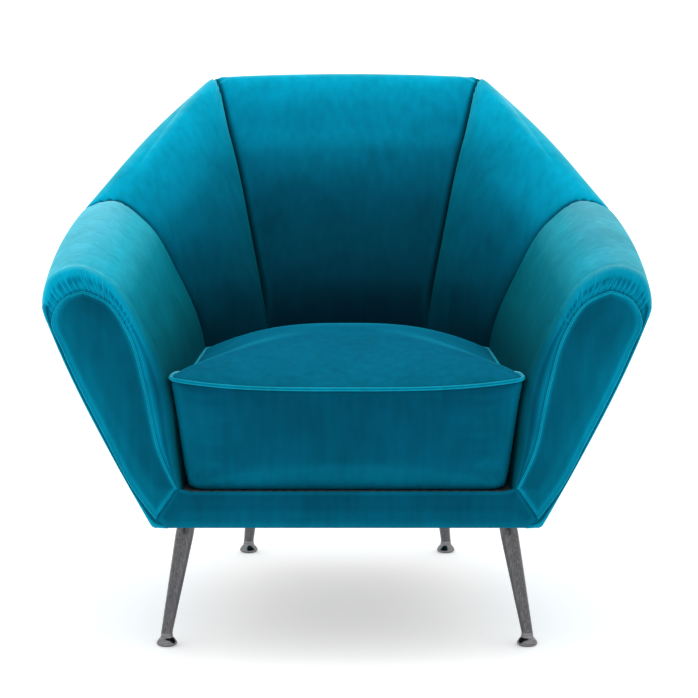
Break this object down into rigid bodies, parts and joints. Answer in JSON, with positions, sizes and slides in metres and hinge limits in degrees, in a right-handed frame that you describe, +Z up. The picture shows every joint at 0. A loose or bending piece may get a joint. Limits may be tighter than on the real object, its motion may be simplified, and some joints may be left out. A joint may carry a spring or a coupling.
{
  "type": "upholstered armchair",
  "caption": "Low lounge armchair with a six-sided channelled velvet shell, loose boxed seat cushion and splayed tapered metal legs on turned feet.",
  "frame": {"origin": "on the floor under the middle of the chair's box", "axes": "+Z up; the sitter faces -Y; +X is the sitter's left"},
  "size_m": [0.878, 0.81, 0.825],
  "materials": {
    "velvet": "matte",
    "foam": "matte",
    "leg_metal": "satin",
    "foot_metal": "polished",
    "screw_steel": "satin",
    "zip_metal": "satin",
    "spring_steel": "satin",
    "zip_tape": "matte",
    "pad_plastic": "matte",
    "dust_cloth": "matte",
    "deck_cloth": "matte",
    "webbing": "matte",
    "board": "matte",
    "timber": "satin"
  },
  "bodies": {
    "shell": {"back_cover": "velvet", "back_foam": "foam", "back_top_rail": "timber", "back_webbing": "webbing", "corner_blocks": "timber", "deck_cloth": "deck_cloth", "dust_cover": "dust_cloth", "foot_pads": "pad_plastic", "front_rail": "timber", "front_rail_cover": "velvet", "left_arm_board": "board", "left_arm_cover": "velvet", "left_arm_facing": "velvet", "left_arm_foam": "foam", "left_arm_front_post": "timber", "left_arm_top_rail": "timber", "left_back_post": "timber", "left_front_foot": "foot_metal", "left_front_leg": "leg_metal", "left_outside_arm_panel": "velvet", "left_outside_wing_panel": "velvet", "left_rear_corner_rail": "timber", "left_rear_foot": "foot_metal", "left_rear_leg": "leg_metal", "left_side_rail": "timber", "left_wing_board": "board", "left_wing_cover": "velvet", "left_wing_foam": "foam", "left_wing_post": "timber", "left_wing_top_rail": "timber", "leg_plates": "leg_metal", "leg_screws": "screw_steel", "outside_back_panel": "velvet", "rear_rail": "timber", "right_arm_board": "board", "right_arm_cover": "velvet", "right_arm_facing": "velvet", "right_arm_foam": "foam", "right_arm_front_post": "timber", "right_arm_top_rail": "timber", "right_back_post": "timber", "right_front_foot": "foot_metal", "right_front_leg": "leg_metal", "right_outside_arm_panel": "velvet", "right_outside_wing_panel": "velvet", "right_rear_corner_rail": "timber", "right_rear_foot": "foot_metal", "right_rear_leg": "leg_metal", "right_side_rail": "timber", "right_wing_board": "board", "right_wing_cover": "velvet", "right_wing_foam": "foam", "right_wing_post": "timber", "right_wing_top_rail": "timber", "seat_springs": "spring_steel", "spring_clips": "spring_steel"},
    "seat_cushion": {"seat_cushion_cover": "velvet", "seat_cushion_foam": "foam", "cushion_zip": "zip_tape"},
    "zip_slider": {"zip_slider": "zip_metal"}
  },
  "joints": [
    {"name": "seat_cushion_lift", "type": "slide", "parent": "shell", "child": "seat_cushion", "axis": [0, 0, 1], "range_m": [0, 0.6]},
    {"name": "zip_slider_run", "type": "slide", "parent": "seat_cushion", "child": "zip_slider", "axis": [1, 0, 0], "range_m": [0, 0.21]}
  ]
}
